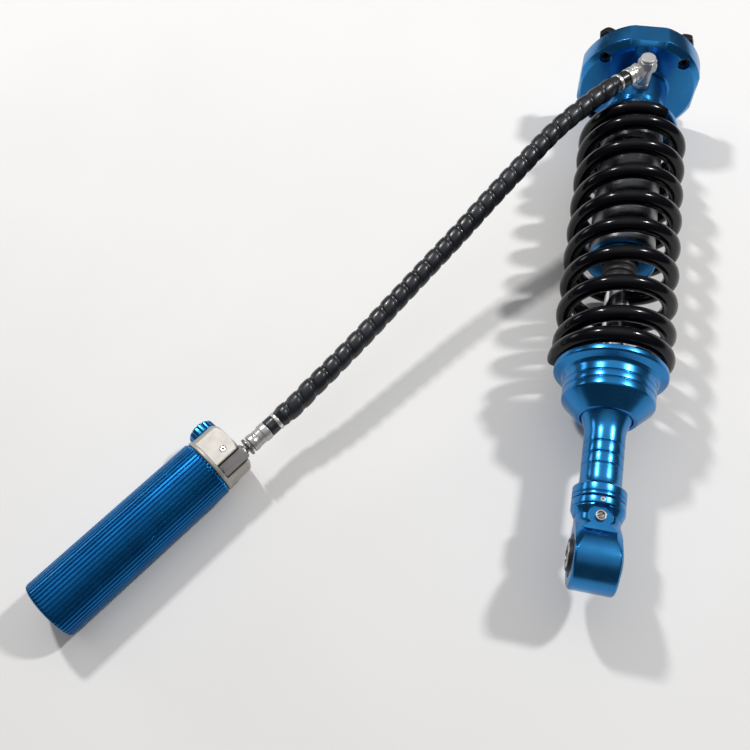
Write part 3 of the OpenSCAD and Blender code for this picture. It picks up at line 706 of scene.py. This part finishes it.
# ---- Lower seat and tube ----
put(lathe("lower_seat_turned", [(34, 372), (47.4, 372), (48, 372.6), (48, 376.4), (46.8, 377.6),
          (41.1, 380), (38.9, 382.5), (38.5, 384.5)] + grooves(38.5, 0.8, 0.7, 0.3, (390, 396.8))
          + [(38.5, 403), (37.9, 404.4), (25.2, 417.9), (24.2, 418.5), (21.9, 418.5), (21.6, 417.5),
             (21.6, 413), (18, 413), (18, 399), (34, 399)], AXIS, 0.35),
    blue, "shaft_group", "anodised_blue", "lower_spring_seat")
NECK_R = 16.6
FLARE_S, FLARE_L, FLARE_OUT = 417, 18, 4.9
flare = [(NECK_R + FLARE_OUT * max(0, 1 - (s - FLARE_S) / FLARE_L) ** 2.2, s)
         for s in range(FLARE_S, 436, 2)]
put(lathe("lower_tube_turned", [(11, 380.4), (16, 380.4), (17, 381.4), (17, 398), (17.95, 399),
          (17.95, 413.1), (21.5, 413.1)] + flare
          + grooves(NECK_R, 0.7, 0.75, 0.3, (443.5, 453.2, 462.9))
          + [(NECK_R, 474), (NECK_R + 0.2, 476.5), (NECK_R + 0.7, 478.9), (NECK_R + 1.4, 480.4),
             (NECK_R + 1.4, 481), (NECK_R - 0.6, 481), (NECK_R - 0.6, 499.4), (15, 499.4),
             (15, 503.5), (9, 503.5), (9, 486), (11, 486)], AXIS, 0.25),
    blue, "shaft_group", "anodised_blue", "lower_tube")
put(lathe("lock_ring_turned", [(16, 481), (20, 481), (21.2, 482.2), (21.2, 488.2), (20.4, 488.6),
          (20.4, 489.2), (21.2, 489.6), (21.2, 491.4), (20.5, 492.1), (16, 492.1)], AXIS, 0.3),
    blue, "shaft_group", "anodised_blue", "lock_ring")
clamp = lathe("clamp_ring_turned", [(16, 492.4), (20.4, 492.4), (21.2, 493.2), (21.2, 498.2),
              (20.4, 499), (16, 499)], AXIS, 0.3)
carve(clamp, rod("t", 2.0, 10, 26, CLAMP_SCREW, 0, segs=32))
put(clamp, blue, "shaft_group", "anodised_blue", "clamp_ring")
grub = rod("clamp_ring_grub_screw", 1.98, 16.1, 20.9, CLAMP_SCREW, 0.3, segs=40)
carve(grub, hex_nut("t", 2, 19, 24, CLAMP_SCREW, clock=12))
put(grub, nickel, "shaft_group", "steel", "clamp_ring_screw")

# ---- Lower eye ----
eye = lathe("lower_eye_turned", [(0, -17.5), (23.9, -17.5), (25.5, -15.9), (25.5, 15.9),
            (23.9, 17.5), (0, 17.5)], EYE, 0.8, 160)
carve(eye, block("t", (-17.45, -17.9, 503), (17.45, 17.9, 530), AXIS), how="UNION")
carve(eye, lathe("t", [(0, 504), (18.2, 504), (18.2, 512), (21, 517), (25, 524), (29, 534),
                       (32, 548), (33, 566), (0, 566)], AXIS, 2.0, 160), how="INTERSECT")
# The flange's cone has its own end and its own number of segments, because the booleans
# fail on faces that lie in one plane
carve(eye, lathe("t", [(0, 499.4), (21.2, 499.4), (21.2, 500.6), (18.7, 506.1), (0, 506.1)],
                 AXIS, 0.3, 150), how="UNION")
carve(eye, rod("t", 15.02, 490, 504.2, AXIS, 0), rod("t", 3.4, 500, 512, AXIS, 0, segs=32),
      rod("t", 17, -30, 30, EYE, 0), rod("t", 3.1, 5, 40, ADJUSTER, 0, segs=48),
      rod("t", 9.45, 15.6, 40, ADJUSTER, 0, segs=96))
bevel(eye, 0.5, 2, 24)
put(eye, blue_mill, "shaft_group", "anodised_blue", "lower_eye")
put(lathe("eye_bush_moulded", [(10.06, -19.9), (12.5, -19.9), (12.9, -17.4), (16.95, -17.2),
          (16.95, 17.2), (12.9, 17.4), (12.5, 19.9), (10.06, 19.9)], EYE, 0.5),
    rubber, "shaft_group", "rubber_black", "eye_bush")
put(lathe("eye_sleeve_turned", [(7.05, -20.5), (9.4, -20.5), (10, -19.9), (10, 19.9),
          (9.4, 20.5), (7.05, 20.5)], EYE, 0.3), steel, "bolt_sleeve", "steel", "eye_sleeve")
put(ring("adjuster_seat_ring", 2.95, 4.2, 15.6, 18.2, ADJUSTER, 0.4, segs=72),
    satin, "shaft_group", "steel", "adjuster_seat")
adj = lathe("rebound_screw_slotted", [(0, 6), (2.85, 6), (2.85, 17), (2.3, 17.9), (0, 17.9)],
            ADJUSTER, 0.3, 64)
carve(adj, block("t", (-5, -0.6, 16.4), (5, 0.6, 20), ADJUSTER @ turn(40, "Z")))
put(adj, dull, "rebound_screw", "nickel", "rebound_adjuster")

# ---- Elbow and swivel nut ----
elbow = lathe("elbow_barrel", [(0, 49.7), (4.65, 49.7), (4.65, 35), (6.8, 35), (7.3, 35.5),
              (7.3, 61.9), (7.0, 62.7), (6.3, 63), (0, 63)], PORT, 0.35, 72)
carve(elbow, hex_nut("t", 13, -8.8, 0, ELBOW, clock=30), how="UNION")
carve(elbow, hex_nut("t", 15.6, 52, 60.5, PORT, chamfer=0.05), how="UNION")
carve(elbow, rod("t", 6, -3, 9, ELBOW, 0.2, segs=48), how="UNION")
put(elbow, cast, "hose_line", "nickel", "elbow_fitting")
ferrule = lathe("b", [(0, 14.5), (8.2, 14.6), (8.6, 15), (8.6, 15.6), (8.2, 16), (7.8, 16.1),
                      (7.8, 16.9), (8.5, 17), (8.8, 17.3), (8.8, 18.7), (8.5, 19), (8.1, 19.1),
                      (8.1, 19.6), (8.5, 19.7), (8.8, 20.1), (8.8, 24.2), (8.3, 24.8), (0, 24.8)],
                ELBOW, 0.2, 72)
swivel = join("swivel_nut_and_ferrule", [hex_nut("a", 16.5, 9, 14.6, ELBOW, clock=10), ferrule])
put(swivel, nickel, "hose_line", "nickel", "swivel_nut")

# ---- Hose fitting and adaptor at the reservoir ----
put(lathe("hose_fitting_turned", [(0, 36), (5, 36), (5, 38), (7.8, 38), (8.2, 38.5), (8.2, 42),
          (7.6, 44), (7.6, 45.2), (7.2, 45.6), (7.6, 46), (7.6, 51), (8.4, 51.4), (8.4, 57.1),
          (8, 57.6), (0, 57.6)], ADAPTOR, 0.3, 72), satin, "hose_line", "nickel", "hose_fitting")
collar = lathe("c", [(0, 30.9), (3.8, 31), (3.8, 34), (8, 34), (8.4, 34.4), (8.4, 35.6), (8, 36),
                     (0, 36)], ADAPTOR, 0.2, 64)
adaptor = join("hose_adaptor_hex", [rod("a", 4, 0.2, 4.2, ADAPTOR, 0.1, segs=48),
                                    hex_nut("b", 12, 4.05, 31, ADAPTOR, clock=20), collar])
put(adaptor, dull, "hose_line", "nickel", "hose_adaptor")

# ---- Reservoir ----
RES_R, RES_GAP, RIBS = 28, 0.05, 48    # the gap keeps the ribs inside the CAD's cylinder
RIB_DEPTH, RIB_FLANK = 1.3, 0.13       # the flank as a share of one rib's period
rib = 2 * pi / RIBS
rib_angles = [rib * (i + f) for i in range(RIBS)
              for f in (0.0, 0.25, 0.47, 0.53, 0.64, 0.75, 0.86, 0.97)]


def ribbed(r, a, z):
    """Half of each period stands proud and half is cut down, on the outside only."""
    if r < 25:
        return r
    f = (a / rib) % 1
    into = min(1, max(0, (f - 0.5) / RIB_FLANK))
    out = min(1, max(0, (1.0 - f) / RIB_FLANK))
    return min(r, RES_R - RES_GAP - RIB_DEPTH * into * out)


tube = lathe("reservoir_tube_ribbed", [(24, 0), (25, 0), (27.1, 0.9), (RES_R, 3),
             (RES_R, TUBE_L - 2.4), (25.8, TUBE_L), (24, TUBE_L)], RES, 0.35, shape=ribbed,
             angles=rib_angles, sharp=28)
put(tube, deep, "hose_line", "anodised_deep_blue", "reservoir_tube")

head = lathe("reservoir_head_machined", [(0, -10), (23.9, -10), (23.9, 0.1), (26.4, 0.1),
             (27.2, 0.9), (27.2, 3.2), (26.4, 4), (26, 4.2), (26, 25), (25.2, 26.6), (22, 29),
             (0, 29)], HEAD, 0.35, 144)
carve(head, block("t", (-40, 21.8, 4), (40, 50, 52), HEAD),
      block("t", (23, -50, 4), (50, 50, 52), HEAD),
      block("t", (-8, -8, 4), (40, 8, 52), ADAPTOR @ turn(143, "Z")),
      rod("t", 4.1, 0, 12, ADAPTOR, 0, segs=32), rod("t", 3.05, -18, 5, KNOB, 0, segs=32),
      rod("t", 3, 0, 9, SCREW, 0, segs=48))
bevel(head, 0.45)
put(head, bare, "hose_line", "bare_aluminium", "reservoir_head")
bleed = rod("head_bleed_screw", 2.6, 0, 2.2, SCREW, 0.3, segs=48)
carve(bleed, hex_nut("t", 2.5, 0.6, 4, SCREW, clock=14))
put(bleed, nickel, "hose_line", "steel", "head_screw")

FLUTES, FLUTE_STEPS = 12, 10
flute_angles = [2 * pi * i / (FLUTES * FLUTE_STEPS) for i in range(FLUTES * FLUTE_STEPS)]


def fluted(r, a, z):
    """Shallow round flutes that fade out towards the middle of the knob's face."""
    flute_h, fade_from, fade_l = 0.7, 8, 4
    f = (a / (2 * pi / FLUTES)) % 1
    dip = flute_h * max(0, sin(2 * pi * f - pi)) ** 0.8 if f > 0.5 else 0
    return r - dip * min(1, max(0, (r - fade_from) / fade_l))


knob = lathe("compression_knob_fluted", [(0, 0), (12.4, 0), (12.95, 0.8), (12.95, 7.8), (12, 9.4),
             (10.6, 10), (6.4, 10), (6.0, 9.5), (0, 9.4)], KNOB, 0.3, shape=fluted,
             angles=flute_angles)
put(knob, blue_mill, "knob", "anodised_blue", "compression_knob")

# ---- Pieces whose CAD mesh stays as it is and gets a look ----
INNER = {
    "cap_o_ring": rubber, "shaft_bush": brass, "shaft_seal": rubber, "shaft_wiper": rubber,
    "metering_rod": steel, "piston": steel, "piston_band": brass, "valve_shims": steel,
    "piston_nut": steel, "reservoir_end_cap": deep, "end_cap_ring": nickel, "gas_valve": brass,
    "floating_piston": bare, "floating_piston_seal": rubber, "compression_spindle": nickel,
}
for node, mat in INNER.items():
    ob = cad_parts[node]
    ob.data.materials.clear()
    ob.data.materials.append(mat)
    ob.data.shade_smooth()
    ob.data.set_sharp_from_angle(angle=radians(35))


# ---- Floor, lights, world ----
def floor_look():
    """Matt off-white paper."""
    k = Look("floor_paper")
    color = k.mix(k.spread(k.noise(3, 3)), (0.818, 0.808, 0.795), (0.845, 0.836, 0.822))
    return k.finish(color, k.spread(k.noise(40, 3), 0.55, 0.65),
                    k.bump(k.noise(900, 2), 0.05, 0.0001), Specular_IOR_Level=0.2)


FAR = 6000                 # half the floor's side
floor = make("floor", [(-FAR, -FAR, -FLAT), (FAR, -FAR, -FLAT), (FAR, FAR, -FLAT),
                       (-FAR, FAR, -FLAT)], [(0, 1, 2, 3)])
floor.data.materials.append(floor_look())

AIM = Vector((-0.1, -0.3, -0.02))  # the middle of the object, in metres


def softbox(name, toward, distance, size, energy):
    """A rectangular light that stands in one direction from the object and shines back at it."""
    data = bpy.data.lights.new(name, "AREA")
    data.shape = "RECTANGLE"
    data.size, data.size_y = size
    data.energy = energy
    ob = bpy.data.objects.new(name, data)
    scene.collection.objects.link(ob)
    d = Vector(toward).normalized()
    ob.location = AIM + d * distance
    ob.rotation_euler = (-d).to_track_quat("-Z", "Y").to_euler()
    return ob


softbox("light_left", (-0.60, 0.50, 1.0), 2.6, (0.16, 0.22), 30)
right_light = softbox("light_right", (0.70, 0.42, 1.0), 2.6, (0.16, 0.22), 34)
softbox("light_low", (-1.0, 0.25, 0.30), 2.2, (0.9, 0.35), 4)
# The right light is flagged off the hose, so the hose throws one shadow and not two
flags = bpy.data.collections.new("right_light_blockers")
flags.objects.link(hose)
flags.objects.link(clamps)
right_light.light_linking.blocker_collection = flags
for linked in flags.collection_objects:
    linked.light_linking.link_state = "EXCLUDE"

world = bpy.data.worlds.new("studio")
scene.world = world
world.use_nodes = True
wn, wl = world.node_tree.nodes, world.node_tree.links
background = wn["Background"]
direction = wn.new("ShaderNodeTexCoord")
parts = wn.new("ShaderNodeSeparateXYZ")
tones = wn.new("ShaderNodeValToRGB")
wl.new(direction.outputs["Generated"], parts.inputs[0])
# Brightness grows with height and towards the far end of the room
PER_DEPTH, PER_HEIGHT, WORLD_STRENGTH = 0.28, 0.95, 0.56
toward_far, height = wn.new("ShaderNodeMath"), wn.new("ShaderNodeMath")
toward_far.operation, height.operation = "MULTIPLY", "MULTIPLY_ADD"
wl.new(parts.outputs["Y"], toward_far.inputs[0])
toward_far.inputs[1].default_value = PER_DEPTH
wl.new(parts.outputs["Z"], height.inputs[0])
height.inputs[1].default_value = PER_HEIGHT
wl.new(toward_far.outputs[0], height.inputs[2])
wl.new(height.outputs[0], tones.inputs[0])
first, last = tones.color_ramp.elements
first.position, first.color = 0.0, (0.15, 0.15, 0.16, 1)
last.position, last.color = 0.99, (1.5, 1.5, 1.5, 1)
for position, tone in ((0.50, 0.15), (0.64, 0.30), (0.74, 0.66), (0.84, 0.78), (0.93, 1.05)):
    tones.color_ramp.elements.new(position).color = (tone, tone, tone * 1.02, 1)
wl.new(tones.outputs[0], background.inputs[0])
background.inputs[1].default_value = WORLD_STRENGTH
scene.view_settings.view_transform = "Standard"
